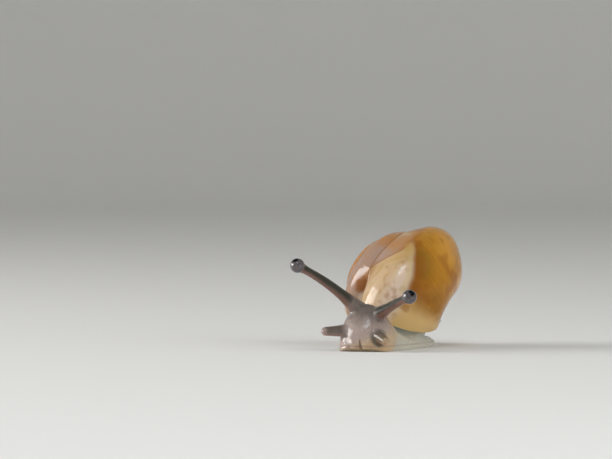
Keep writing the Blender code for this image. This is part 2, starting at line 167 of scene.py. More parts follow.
def groove_fill(turn):
    """Where the groove above the whorl begins, and how far the seam in it is raised; nothing at the lip."""
    shoulder = groove_shoulder(turn)
    way = section_normal(shoulder).normalized()
    seam = Vector(section_point(seam_above(turn)))
    depth = (Vector(section_point(shoulder)) - seam).dot(way)
    return shoulder, way * depth * SEAM_FILL * min(1.0, max(0.0, -turn / SEAM_FADE))


def base_bulge(turn):
    """How far the base hangs below the oval section at a turn of the last whorl, nothing at its two ends."""
    return BASE_BULGE * math.sin(math.pi * min(1.0, -turn) ** BULGE_POWER)


def navel_point(turn):
    return 0.0, -NAVEL_BELOW_MOUTH - base_bulge(turn)


def whorl_profile(turn):
    """Angles and points from the seam above the whorl to the seam below it, and from there to the navel."""
    upper, lower = seam_above(turn), seam_below(turn)
    shoulder_above, lift_above = groove_fill(turn)
    shoulder_below, lift_below = groove_fill(min(turn + 1, 0.0))
    spire = []
    for i in range(SPIRE_STEPS + 1):
        around = upper + (lower - upper) * i / SPIRE_STEPS
        point = Vector(section_point(around))
        point += lift_above * max(0.0, (around - shoulder_above) / (upper - shoulder_above)) ** 2
        near_below = max(0.0, (shoulder_below - around) / (shoulder_below - lower))
        point += lift_below * WHORL_GROWTH * near_below ** 2
        if i == 0:
            point -= section_normal(around).normalized() * SEAM_LINE * min(1.0, max(0.0, -turn / SEAM_FADE))
        spire.append((around, point))
    base = []
    for i in range(1, BASE_STEPS + 1):
        share = i / BASE_STEPS
        around = lower + (NAVEL_TURN - lower) * share
        radius, rise = section_point(around)
        entry = math.sin(math.pi / 2 * min(1.0, share * BULGE_ENTRY)) ** 2
        base.append((around, (radius, rise - base_bulge(turn) * entry)))
    return spire, base + [(NAVEL_TURN, navel_point(turn))]


outward, backward, apex = shell_axes()
carry = Matrix((outward, backward, apex)).transposed()
shell_tip = MOUTH_CENTRE - carry @ coil_place(0.0, MOUTH_FROM_AXIS, 0.0)


def carried(turn, radius, rise):
    return carry @ coil_place(turn, radius, rise) + shell_tip


def mouth_outline():
    """The mouth between the last whorl and the one before it, as distances from the axis and rises."""
    spire, base = whorl_profile(0.0)
    outer = [point for around, point in spire + base]
    turns = [-i / STEPS_PER_WHORL for i in range(1, STEPS_PER_WHORL)]
    axis = [measured_at(0.0, turn, *navel_point(turn)) for turn in turns]
    inner = [measured_at(0.0, -1.0, *point) for around, point in reversed(whorl_profile(-1.0)[1])]
    return [Vector(point) for point in outer + axis + inner]


def shrink(outline, share):
    centre = sum(outline, Vector((0, 0))) / len(outline)
    return [centre + (point - centre) * share for point in outline]


def new_mesh(name, bm):
    """Turn what was built into a smooth-shaded mesh with its faces outward."""
    bmesh.ops.recalc_face_normals(bm, faces=bm.faces)
    mesh = bpy.data.meshes.new(name)
    bm.to_mesh(mesh)
    bm.free()
    mesh.shade_smooth()
    return mesh


def new_object(name, data):
    thing = bpy.data.objects.new(name, data)
    bpy.context.scene.collection.objects.link(thing)
    return thing


def build_shell_mesh():
    """The wall, the tip and the hollow of the mouth; corners keep their turn, angle and way to the seam."""
    bm = bmesh.new()
    turn_layer = bm.loops.layers.float.new("turn")
    angle_layer = bm.loops.layers.float.new("around")
    seam_layer = bm.loops.layers.float.new("from_seam")
    steps = round(WHORLS * STEPS_PER_WHORL)
    turns = [(i - steps) / STEPS_PER_WHORL for i in range(steps + 1)]
    profiles = [whorl_profile(turn) for turn in turns]

    def corner(turn, point):
        return bm.verts.new((carried(turn, *point) - UNDER_THE_MIDDLE) * MM)

    def panel(corners, turns, angles, seams):
        face = bm.faces.new(corners)
        for loop, turn, angle, seam in zip(face.loops, turns, angles, seams):
            loop[turn_layer] = turn
            loop[angle_layer] = angle
            loop[seam_layer] = seam

    rows = [[corner(turn, point) for around, point in spire] for turn, (spire, base) in zip(turns, profiles)]
    for i in range(steps + 1 - STEPS_PER_WHORL):
        bm.verts.remove(rows[i].pop())
        rows[i].append(rows[i + STEPS_PER_WHORL][0])
    last_whorl = steps - STEPS_PER_WHORL
    for i in range(last_whorl, steps + 1):
        rows[i] += [corner(turns[i], point) for around, point in profiles[i][1]]
    marks = [[around for around, point in spire + base] for spire, base in profiles]
    for i in range(steps):
        row, following = rows[i], rows[i + 1]
        for j in range(min(len(row), len(following)) - 1):
            seam, next_seam = j, j + 1
            if i < last_whorl:
                seam, next_seam = min(j, SPIRE_STEPS - j), min(j + 1, SPIRE_STEPS - j - 1)
            panel((row[j], row[j + 1], following[j + 1], following[j]),
                  (turns[i], turns[i], turns[i + 1], turns[i + 1]),
                  (marks[i][j], marks[i][j + 1], marks[i + 1][j + 1], marks[i + 1][j]),
                  (seam, next_seam, next_seam, seam))

    # a small dome closes the tip
    rim = [rows[i][0] for i in range(STEPS_PER_WHORL + 1)] + rows[0][-2:0:-1]
    middle = sum((v.co for v in rim), Vector()) / len(rim)
    crown = bm.verts.new(middle + apex * CROWN_RISE * MM)
    for i, vert in enumerate(rim):
        panel((vert, rim[(i + 1) % len(rim)], crown), (-WHORLS,) * 3, (marks[0][0],) * 3, (SPIRE_STEPS,) * 3)

    # the mouth is a shallow hollow behind the lip, which has neither turn nor angle
    rim = rows[-1] + [rows[i][-1] for i in range(steps - 1, last_whorl, -1)]
    rim += list(reversed(rows[last_whorl][SPIRE_STEPS + 1:]))
    outline = shrink(mouth_outline(), 1 - LIP_SHARE)
    front = [corner(0.0, point) for point in outline]
    floor = [corner(-MOUTH_DEPTH, point) for point in outline]
    for ring, following in ((rim, front), (front, floor)):
        for i in range(len(ring)):
            j = (i + 1) % len(ring)
            panel((ring[i], ring[j], following[j], following[i]), (0.0,) * 4, (0.0,) * 4, (SPIRE_STEPS,) * 4)
    flat = (0.0,) * len(floor)
    panel(floor, flat, flat, flat)
    mesh = new_mesh("shell_wall", bm)
    mesh.set_sharp_from_angle(angle=LIP_EDGE)
    return mesh


class Wire:
    """A value on its way through a material's nodes; arithmetic on it adds the nodes that work it out."""

    def __init__(self, tree, socket=None):
        self.tree = tree
        self.socket = socket

    def add(self, kind, settings=None, inputs=None, output=0):
        """Add a node, set it up, feed its sockets, and give back one of its outputs."""
        node = self.tree.nodes.new(kind)
        for name, value in (settings or {}).items():
            setattr(node, name, value)
        for key, value in (inputs or {}).items():
            self.feed(node.inputs[key], value)
        return Wire(self.tree, node.outputs[output])

    def feed(self, socket, value):
        if isinstance(value, Wire):
            self.tree.links.new(value.socket, socket)
        else:
            socket.default_value = value

    def sum(self, operation, first, second=0.0):
        return self.add("ShaderNodeMath", {"operation": operation}, {0: first, 1: second})

    def __add__(self, other):
        return self.sum("ADD", self, other)

    def __radd__(self, other):
        return self.sum("ADD", other, self)

    def __sub__(self, other):
        return self.sum("SUBTRACT", self, other)

    def __rsub__(self, other):
        return self.sum("SUBTRACT", other, self)

    def __mul__(self, other):
        return self.sum("MULTIPLY", self, other)

    def __rmul__(self, other):
        return self.sum("MULTIPLY", other, self)

    def __abs__(self):
        return self.sum("ABSOLUTE", self)

    def rise(self, low, high):
        """0 at the low value and before it, 1 at the high one and past it; either may be the larger."""
        return self.add("ShaderNodeMapRange", {"interpolation_type": "SMOOTHSTEP"},
                        {"Value": self, "From Min": low, "From Max": high})

    def near(self, middle, reach):
        """1 at the middle value, falling to 0 at the reach on either side."""
        return abs(self - middle).rise(reach, 0.0)

    def mix(self, first, second):
        """The first colour where this is 0, the second where it is 1."""
        first, second = [c if isinstance(c, Wire) else (*c, 1.0) for c in (first, second)]
        return self.add("ShaderNodeMix", {"data_type": "RGBA"}, {0: self, 6: first, 7: second}, 2)


def new_finish(name, **constants):
    """A Principled material with its constant values set, a first wire in it, and its shader's sockets."""
    finish = bpy.data.materials.new(name)
    finish.use_nodes = True
    shader = finish.node_tree.nodes["Principled BSDF"]
    for key, value in constants.items():
        shader.inputs[key.replace("_", " ")].default_value = value
    return finish, Wire(finish.node_tree), shader.inputs


AMBER = (0.40, 0.175, 0.012)
DEEP_AMBER = (0.26, 0.110, 0.005)
GLOWING_GOLD = (0.50, 0.24, 0.022)
OLIVE = (0.20, 0.105, 0.008)
LIVER_AND_SHADE_BROWN = (0.22, 0.068, 0.003)
BEIGE = (0.56, 0.385, 0.165)
CREAM_AND_HIGHLIGHT = (0.565, 0.445, 0.345)
ROSY = (0.42, 0.285, 0.20)
RIM_HIGHLIGHT_CREAM = (0.52, 0.42, 0.25)
STRAW = (0.40, 0.25, 0.07)
MAUVE = (0.30, 0.205, 0.160)
ORANGE = (0.36, 0.155, 0.040)
TURN_LENGTH = 13.5  # of the last whorl, in half widths of its section
PATCH_WOBBLE = 0.35
CREAM_MIDDLE_TURN = -0.045  # the edge of the cream lies lowest here
CREAM_MIDDLE_ANGLE = -0.935
CREAM_BEND = 56.0  # how fast its edge rises on both sides
SPOTS = ((-0.094, -54, 0.2), (-0.091, -79, 0.22), (-0.044, -59, 0.16), (-0.170, -12, 0.2))


def shell_finish():
    """Colours by the turn and the angle on the section, with cloudy mottling and lines of growth, and painted
    shade, highlights and glow.
    """
    finish, start, shader = new_finish("amber_horn", IOR=1.42, Specular_IOR_Level=0.2,
                                       Coat_Weight=0.38, Coat_Roughness=0.06, Subsurface_Weight=0.4,
                                       Subsurface_Scale=0.5 * MM, Subsurface_Radius=(1.0, 0.5, 0.22))
    turn = start.add("ShaderNodeAttribute", {"attribute_name": "turn"}, output=2)
    around = start.add("ShaderNodeAttribute", {"attribute_name": "around"}, output=2)
    place = start.add("ShaderNodeTexCoord", output=3)
    cloud = start.add("ShaderNodeTexNoise", None, {"Vector": place, "Scale": 620.0, "Detail": 3.0})
    grain = start.add("ShaderNodeTexNoise", None, {"Vector": place, "Scale": 2600.0, "Detail": 2.0})
    blots = start.add("ShaderNodeTexNoise", None, {"Vector": place, "Scale": 1150.0, "Detail": 1.0})

    def patch(at_turn, at_angle, size):
        """A round patch: how far it fills a place, by the turn and the angle of its middle and its size."""
        along = (turn - at_turn) * TURN_LENGTH + (grain - 0.5) * PATCH_WOBBLE
        across = around - math.radians(at_angle) + (cloud - 0.5) * PATCH_WOBBLE
        return (along * along + across * across).rise(size ** 2, size ** 2 * 0.1)

    # the organs under the wall: the liver shows amber to brown, the mantle cream; the gold, the shade next to
    # the cream's edge and the bright rim along it are painted light
    wavy = around + (cloud - 0.5) * 0.25
    last = turn.rise(-0.75, -0.45)
    from_middle = turn - CREAM_MIDDLE_TURN
    cream_edge = wavy - from_middle * from_middle * CREAM_BEND - CREAM_MIDDLE_ANGLE
    cream = cream_edge.rise(-0.12, 0.2)
    from_seam = start.add("ShaderNodeAttribute", {"attribute_name": "from_seam"}, output=2)
    stripes = {"noise_dimensions": "1D"}
    lines = start.add("ShaderNodeTexNoise", stripes, {"W": turn, "Scale": 160.0, "Detail": 2.0})
    colour = (cloud * 0.7 + grain * 0.15 + lines * 0.25).rise(0.40, 0.72).mix(DEEP_AMBER, AMBER)
    # painted light: a lighter golden amber where light shines through the horn, on the last whorl behind its
    # front
    colour = (turn.rise(-0.11, -0.24) * last * cloud.rise(0.62, 0.4) * 0.85).mix(colour, GLOWING_GOLD)
    colour = (patch(-0.135, -36, 0.65) * 0.7).mix(colour, OLIVE)
    colour = (blots.rise(0.54, 0.72) * last * 0.5).mix(colour, LIVER_AND_SHADE_BROWN)
    # painted shade: the amber next to the cream's edge is darkened to brown
    shade_beside_edge = cream_edge.rise(-0.7, -0.12) * turn.rise(-0.19, -0.13) * turn.rise(-0.05, -0.08)
    colour = (shade_beside_edge * 0.7).mix(colour, LIVER_AND_SHADE_BROWN)
    colour = ((turn + (cloud - 0.5) * 0.05).rise(-0.095, -0.03) * 0.9).mix(colour, BEIGE)
    pale = (grain * 0.6 + cloud * 0.4).rise(0.52, 0.36).mix(CREAM_AND_HIGHLIGHT, ROSY)
    pale = (around.rise(-0.55, -0.1) * 0.5).mix(pale, STRAW)
    colour = (cream * last).mix(colour, pale)
    # painted highlight: a bright cream line along the cream's edge
    rim = cream_edge.near(0.14, 0.16) * turn.rise(-0.17, -0.14) * turn.rise(-0.045, -0.085)
    colour = (rim * 0.7).mix(colour, RIM_HIGHLIGHT_CREAM)
    colour = (cream * last * turn.rise(-0.09, -0.15) * 0.5).mix(colour, STRAW)
    for at_turn, at_angle, size in SPOTS:
        colour = (patch(at_turn, at_angle, size) * 0.5).mix(colour, LIVER_AND_SHADE_BROWN)

    # the crease where the whorls meet, brown with painted shade in its groove and at its start,
    # straw-coloured next to it and mauve above it
    crease = wavy - turn.rise(-0.155, -0.04) * 1.05
    front = turn.rise(-0.23, -0.17)
    strokes = start.add("ShaderNodeTexNoise", stripes, {"W": crease, "Scale": 6.0, "Detail": 3.0})
    colour = (crease.near(-0.3, 0.42) * front * cream * strokes.rise(0.4, 0.6) * 0.8).mix(colour, STRAW)
    spire = 1.0 - turn.rise(-0.98, -0.75) * (1.0 - crease.rise(-0.06, 0.1) * front)
    warm = turn.rise(-1.1, -1.25) + turn.rise(-0.11, -0.17) * turn.rise(-0.9, -0.75)
    older = (grain * 0.4 + cloud * 0.6 + warm * 0.3).rise(0.42, 0.78).mix(MAUVE, ORANGE)
    colour = (spire * 0.9).mix(colour, older)
    # painted shade: the crease line, the groove by the lip and the crease's start on the older whorl are
    # darkened to brown
    colour = (crease.near(0.0, 0.13) * front * turn.rise(-0.02, -0.06) * 0.55).mix(colour, LIVER_AND_SHADE_BROWN)
    groove = around.rise(0.35, 0.95) * turn.rise(-0.11, -0.045)
    colour = (groove * 0.9).mix(colour, LIVER_AND_SHADE_BROWN)
    colour = (patch(-1.005, -24, 0.42) * 0.9).mix(colour, LIVER_AND_SHADE_BROWN)
    # painted highlight: a pale cream patch below the crease's start
    colour = (patch(-0.97, -48, 0.40) * 0.8).mix(colour, CREAM_AND_HIGHLIGHT)
    colour = (patch(-0.150, -5, 0.2) * 0.6).mix(colour, STRAW)
    # painted shade: a thin brown line along the seams of the older whorls
    colour = (from_seam.rise(1.6, 0.3) * turn.rise(-0.24, -0.3) * 0.4).mix(colour, LIVER_AND_SHADE_BROWN)

    start.feed(shader["Base Color"], colour)
    start.feed(shader["Roughness"], cloud * 0.1 + 0.18)
    bump = start.add("ShaderNodeBump", None, {"Strength": 0.25, "Distance": 0.03 * MM, "Height": lines})
    start.feed(shader["Normal"], bump)
    return finish


shell = new_object("spiral_shell", build_shell_mesh())
shell.data.materials.append(shell_finish())
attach(shell, "root")
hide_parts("shell")

# The soft body
# One wet, pebbled skin over muscle, from the snout to the tip of the tail. It rises as the mantle into the
# mouth of the shell. In front it is drawn out into two long feelers with the eyes, and two short ones.
BODY_STATIONS = (  # place along the body, middle, half width, back height, underside height, fullness
    (-5.38, -0.27, 0.10, 0.82, 0.62, 2.0),
    (-5.30, -0.26, 0.52, 1.08, 0.34, 2.1),
    (-5.12, -0.25, 0.90, 1.48, 0.12, 2.2),
    (-4.80, -0.24, 1.18, 1.98, 0.00, 2.2),
    (-4.30, -0.20, 1.32, 2.34, 0.00, 2.1),
    (-3.60, -0.08, 1.28, 2.02, 0.00, 2.1),
    (-2.80, 0.06, 1.30, 1.22, 0.00, 2.2),
    (-1.80, 0.22, 1.38, 0.84, 0.00, 2.3),
    (0.20, 0.36, 1.42, 0.80, 0.00, 2.5),
    (1.60, 0.42, 1.32, 0.66, 0.00, 2.4),
    (3.00, 0.44, 1.04, 0.46, 0.00, 2.1),
    (4.40, 0.48, 0.70, 0.42, 0.00, 1.9),
    (5.60, 0.54, 0.28, 0.28, 0.00, 1.6),
    (6.00, 0.56, 0.10, 0.12, 0.00, 1.6),
)
BODY_STEPS = 110
BACK_STEPS = 40
SOLE_STEPS = 10
SKIN_GRAIN = 0.042  # size of the skin's faces
UPPER_ROOT_RADIUS = 0.32
UPPER_TIP_RADIUS = 0.19
UPPER_ROOT_DEPTH = 0.35  # how far the feeler starts inside the head
UPPER_ROOT_SWELL, UPPER_ROOT_REACH = 0.14, 0.85
COLLAR_SWELL, COLLAR_REACH = 0.10, 0.42  # where it widens below the bulb
UPPER_FEELERS = {  # root, reach from it to the bulb, and how high the feeler arches between them
    "right": (Vector((-0.74, -4.35, 2.16)), Vector((-2.24, -2.65, 2.12)), 0.18),
    "left": (Vector((0.44, -4.35, 1.80)), Vector((2.23, -2.57, 1.00)), 0.06),
}
LOWER_ROOT_RADIUS = 0.34
LOWER_TIP_RADIUS = 0.21
LOWER_ROOT_DEPTH = 0.4
LOWER_ROOT_SWELL, LOWER_ROOT_REACH = 0.16, 0.5
LOWER_END = 0.15  # radius at the very end, as a share of the round tip's
LOWER_FEELERS = {
    "right": (Vector((-1.00, -4.75, 1.02)), Vector((-1.16, -0.84, -0.02))),
    "left": (Vector((0.42, -4.80, 0.86)), Vector((0.82, -0.82, -0.38))),
}
EYE_RADIUS = 0.36
FEELER_STEPS = 24
FEELER_SIDES = 20
LIP_MIDDLE = Vector((-0.26, -5.10, 0.42))
LIP_SPREAD = 0.30
LIP_SIZE = Vector((0.32, 0.30, 0.32))
LIP_LINE_WIDTH = 0.17  # half the width of the line between the lips, at the floor
LIP_LINE_NARROWING = 0.2  # per millimetre up
LIP_LINE_DEPTH = 0.07
MANTLE_STEPS = 72
MANTLE_INSIDE = ((MOUTH_DEPTH, 0.85), (MOUTH_DEPTH / 2, 0.94), (0.012, 0.94))  # turns behind the lip, share
MANTLE_COLLAR = 0.92  # share of the mouth that the mantle fills at the lip
MANTLE_NARROW = 0.80  # and in front of it
MANTLE_PROUD = 0.014  # turns in front of the lip
MANTLE_FOOT = (0.36, -0.60, 0.25)
MANTLE_FOOT_HALF_WIDTH = 1.2
MANTLE_FOOT_HALF_LENGTH = 1.5
BREATHING_PORE = Vector((-1.15, -1.55, 1.75))
PORE_RADIUS = 0.26
PORE_DEPTH = 0.16
FRINGE_HEIGHT = 0.26  # of the groove above the edge of the foot
FRINGE_WIDTH = 0.07
FRINGE_DEPTH = 0.03
PEBBLE_HEIGHT = 0.028
PEBBLES_ALONG, PEBBLES_ACROSS = 3.8, 5.2  # per millimetre
FINE_HEIGHT = 0.012
SOLE_EDGE = 0.12  # the pebbles fade out below this height
LONG_FEELER_REACH = 0.62  # of the dark skin round a feeler's line
SHORT_FEELER_REACH = 0.55


def skin_rings(bm, rings):
    """Skin a row of rings of equal count and close both ends."""
    rows = [[bm.verts.new(point) for point in ring] for ring in rings]
    count = len(rows[0])
    for row, following in zip(rows, rows[1:]):
        for i in range(count):
            j = (i + 1) % count
            bm.faces.new((row[i], row[j], following[j], following[i]))
    bm.faces.new(list(reversed(rows[0])))
    bm.faces.new(rows[-1])


def body_sizes(place):
    """Middle, half width, back height, underside height and fullness at a place along the body."""
    stations = BODY_STATIONS
    i = 1
    while i < len(stations) - 2 and stations[i + 1][0] < place:
        i += 1
    last = len(stations) - 1
    before, start, end, after = (stations[min(i + k, last)] for k in (-1, 0, 1, 2))
    if place < start[0]:
        before, start, end, after = stations[0], stations[0], stations[1], stations[2]
    span = end[0] - start[0]
    share = (place - start[0]) / span
    sizes = []
    for k in range(1, len(start)):
        slope_in = (end[k] - before[k]) / (end[0] - before[0]) * span
        slope_out = (after[k] - start[k]) / (after[0] - start[0]) * span
        square, cube = share ** 2, share ** 3
        sizes.append((2 * cube - 3 * square + 1) * start[k] + (cube - 2 * square + share) * slope_in
                     + (3 * square - 2 * cube) * end[k] + (cube - square) * slope_out)
    return sizes


def body_ring(place):
    """One arched ring around the body with a flat sole."""
    middle, half_width, back, belly, fullness = body_sizes(place)
    ring = []
    for i in range(BACK_STEPS + 1):
        angle = math.pi * i / BACK_STEPS
        across = math.copysign(abs(math.cos(angle)) ** (2 / fullness), math.cos(angle))
        up = abs(math.sin(angle)) ** (2 / fullness)
        ring.append(Vector((middle + half_width * across, place, belly + (back - belly) * up)))
    for i in range(1, SOLE_STEPS):
        ring.append(Vector((middle + half_width * (2 * i / SOLE_STEPS - 1), place, belly)))
    return ring


def tube_rings(points, radii):
    """Round rings along a line of points, each square to the line."""
    rings = []
    side = Vector((0, 0, 1))
    for i, (point, radius) in enumerate(zip(points, radii)):
        along = points[min(i + 1, len(points) - 1)] - points[max(i - 1, 0)]
        along.normalize()
        side = (side - along * side.dot(along)).normalized()
        other = along.cross(side)
        ring = []
        for j in range(FEELER_SIDES):
            angle = math.tau * j / FEELER_SIDES
            ring.append(point + (side * math.cos(angle) + other * math.sin(angle)) * radius)
        rings.append(ring)
    return rings


def upper_feeler_line(side):
    """Points and radii from inside the head to inside the bulb."""
    root, reach, lift = UPPER_FEELERS[side]
    start = root - reach.normalized() * UPPER_ROOT_DEPTH
    length = reach.length + UPPER_ROOT_DEPTH
    points, radii = [], []
    for i in range(FEELER_STEPS + 1):
        share = i / FEELER_STEPS
        bend = Vector((0, 0, lift * math.sin(math.pi * share)))
        points.append(start.lerp(root + reach, share) + bend)
        radius = UPPER_ROOT_RADIUS + (UPPER_TIP_RADIUS - UPPER_ROOT_RADIUS) * share ** 0.7
        radius += COLLAR_SWELL * math.exp(-((1 - share) * length / COLLAR_REACH) ** 2)
        radius += UPPER_ROOT_SWELL * math.exp(-(share * length / UPPER_ROOT_REACH) ** 2)
        radii.append(radius)
    return points, radii


def lower_feeler_line(side):
    """Points and radii from inside the head to the round tip."""
    root, reach = LOWER_FEELERS[side]
    start = root - reach.normalized() * LOWER_ROOT_DEPTH
    length = reach.length + LOWER_ROOT_DEPTH
    points, radii = [], []
    for i in range(FEELER_STEPS + 1):
        share = i / FEELER_STEPS
        points.append(start.lerp(root + reach, share))
        radius = LOWER_ROOT_RADIUS + (LOWER_TIP_RADIUS - LOWER_ROOT_RADIUS) * share
        radius += LOWER_ROOT_SWELL * math.exp(-(share * length / LOWER_ROOT_REACH) ** 2)
        to_end = (1 - share) * length
        if to_end < LOWER_TIP_RADIUS:
            radius *= max(LOWER_END, math.sqrt(1 - (1 - to_end / LOWER_TIP_RADIUS) ** 2))
        radii.append(radius)
    return points, radii


def mantle_rings():
    """Rings from inside the mouth of the shell down on to the back of the foot."""
    corners = mouth_outline()
    closed = corners + corners[:1]
    lengths = [(b - a).length for a, b in zip(closed, closed[1:])]
    outline = []
    segment, passed = 0, 0.0
    for i in range(MANTLE_STEPS):
        wanted = sum(lengths) * i / MANTLE_STEPS
        while passed + lengths[segment] < wanted:
            passed += lengths[segment]
            segment += 1
        outline.append(closed[segment].lerp(closed[segment + 1], (wanted - passed) / lengths[segment]))

    def ring(turn, share):
        return [carried(turn, *point) for point in shrink(outline, share)]

    collar = ring(0.0, MANTLE_COLLAR)
    rings = [ring(-behind, share) for behind, share in MANTLE_INSIDE]
    rings += [collar, ring(MANTLE_PROUD, MANTLE_NARROW)]
    middle = Vector(MANTLE_FOOT)
    foot = []
    for point in collar:
        angle = math.atan2(point.y - middle.y, point.x - middle.x)
        across, along = MANTLE_FOOT_HALF_WIDTH * math.cos(angle), MANTLE_FOOT_HALF_LENGTH * math.sin(angle)
        foot.append(middle + Vector((across, along, 0)))
    rings.append([a.lerp(b, 0.5) for a, b in zip(rings[-1], foot)])
    rings.append(foot)
    return rings


def ramp(value, low, high):
    """0 at the low value and before it, 1 at the high one and past it; either may be the larger."""
    share = min(1.0, max(0.0, (value - low) / (high - low)))
    return share * share * (3 - 2 * share)


def on_line(place, points, reach):
    """How far along a feeler's line a place lies, and how near to it: 1 on the line, 0 at the reach."""
    line = points[-1] - points[0]
    share = (place - points[0]).dot(line) / line.length_squared
    away = (place - points[0].lerp(points[-1], min(1.0, max(0.0, share)))).length
    return share, ramp(away, reach, reach * 0.7)


LONG_FEELERS = [upper_feeler_line(side) for side in ("left", "right")]
SHORT_FEELERS = [lower_feeler_line(side) for side in ("left", "right")]


def keep_one_piece(mesh):
    """Take away the specks that joining can leave inside, all but the largest connected piece."""
    bm = bmesh.new()
    bm.from_mesh(mesh)
    left = set(bm.verts)
    pieces = []
    while left:
        front = [left.pop()]
        piece = []
        while front:
            vert = front.pop()
            piece.append(vert)
            fresh = [other for other in (edge.other_vert(vert) for edge in vert.link_edges) if other in left]
            left.difference_update(fresh)
            front += fresh
        pieces.append(piece)
    pieces.sort(key=len)
    bmesh.ops.delete(bm, geom=[vert for piece in pieces[:-1] for vert in piece], context="VERTS")
    bm.to_mesh(mesh)
    bm.free()


def build_skin_mesh():
    """Join the plain forms into one skin, then raise its pebbles and mark where it is dark, with painted
    shade in the pore and the line between the lips.
    """
    bm = bmesh.new()
    first, last = BODY_STATIONS[0][0], BODY_STATIONS[-1][0]
    middle, half = (first + last) / 2, (last - first) / 2
    places = [middle - half * math.cos(math.pi * i / BODY_STEPS) for i in range(BODY_STEPS + 1)]
    skin_rings(bm, [body_ring(place) for place in places])
    for points, radii in LONG_FEELERS + SHORT_FEELERS:
        skin_rings(bm, tube_rings(points, radii))
    for side in (-1, 1):
        ball = bmesh.ops.create_uvsphere(bm, u_segments=24, v_segments=16, radius=1.0)["verts"]
        bmesh.ops.scale(bm, verts=ball, vec=LIP_SIZE)
        bmesh.ops.translate(bm, verts=ball, vec=LIP_MIDDLE + Vector((side * LIP_SPREAD, 0, 0)))
    skin_rings(bm, mantle_rings())
    rough = new_mesh("skin_rough", bm)
    joined = new_object("skin_rough", rough)
    remesh = joined.modifiers.new("one skin", "REMESH")
    remesh.mode = "VOXEL"
    remesh.voxel_size = SKIN_GRAIN
    soften = joined.modifiers.new("soften", "SMOOTH")
    soften.iterations = 10
    soften.factor = 0.5
    graph = bpy.context.evaluated_depsgraph_get()
    mesh = bpy.data.meshes.new_from_object(joined.evaluated_get(graph))
    bpy.data.objects.remove(joined, do_unlink=True)
    bpy.data.meshes.remove(rough)
    keep_one_piece(mesh)

    dark = mesh.attributes.new("dark", "FLOAT", "POINT")
    pore = min((v.co for v in mesh.vertices), key=lambda spot: (spot - BREATHING_PORE).length).copy()
    normals = [v.normal.copy() for v in mesh.vertices]
    for v, normal in zip(mesh.vertices, normals):
        place = v.co.copy()
        stalk = horn = 0.0
        for points, radii in LONG_FEELERS:
            share, near = on_line(place, points, LONG_FEELER_REACH)
            stalk = max(stalk, near * ramp(share, 0.05, 0.28))
        for points, radii in SHORT_FEELERS:
            share, near = on_line(place, points, SHORT_FEELER_REACH)
            # painted highlight: the short feelers' tips are left paler
            horn = max(horn, near * ramp(share, 0.2, 0.5) * (1 - 0.45 * ramp(share, 0.82, 0.95)))
        head_top = ramp(place.z, 0.7, 2.1) * ramp(place.y, -2.0, -3.6)
        # painted shade: the breathing pore is darkened as well as dented
        hollow = ramp((place - pore).length, PORE_RADIUS, PORE_RADIUS * 0.3)
        # painted shade: the line between the lips is darkened as well as cut
        lip_line = ramp(abs(place.x - LIP_MIDDLE.x), LIP_LINE_WIDTH - LIP_LINE_NARROWING * place.z, 0.01)
        lip_line *= ramp(place.z, 0.72, 0.5) * ramp(place.y, -4.9, -5.1)
        dark.data[v.index].value = max(stalk, 0.66 * horn, 0.6 * head_top, hollow, 0.5 * lip_line)
        fringe = ramp(abs(place.z - FRINGE_HEIGHT), FRINGE_WIDTH, 0.0)
        fine = max(stalk, horn, 0.75 * ramp(place.y, -3.8, -4.6))
        cell = Vector((place.x * PEBBLES_ACROSS, place.y * PEBBLES_ALONG, place.z * PEBBLES_ACROSS))
        nearest, second = noise.voronoi(cell)[0][:2]
        pebble = min(1.0, (second - nearest) * 2.6) - 0.6
        grain = noise.noise(place * 16) * 0.5 + noise.noise(place * 25) * 0.3
        raised = PEBBLE_HEIGHT * pebble * (1 - fine) + FINE_HEIGHT * grain * fine
        raised -= PORE_DEPTH * hollow + LIP_LINE_DEPTH * lip_line + FRINGE_DEPTH * fringe
        v.co = place + normal * ramp(place.z, 0.0, SOLE_EDGE) * raised
    for v in mesh.vertices:
        v.co = (v.co - UNDER_THE_MIDDLE) * MM
        v.co.z = max(v.co.z, 0.0)
    mesh.shade_smooth()
    return mesh


PALE_FOOT = (0.41, 0.43, 0.38)
HEAD_GREY = (0.34, 0.27, 0.24)
RIM_BEIGE = (0.46, 0.33, 0.185)
FEELER_BROWN = (0.026, 0.024, 0.015)
FEELER_PINK = (0.19, 0.095, 0.070)


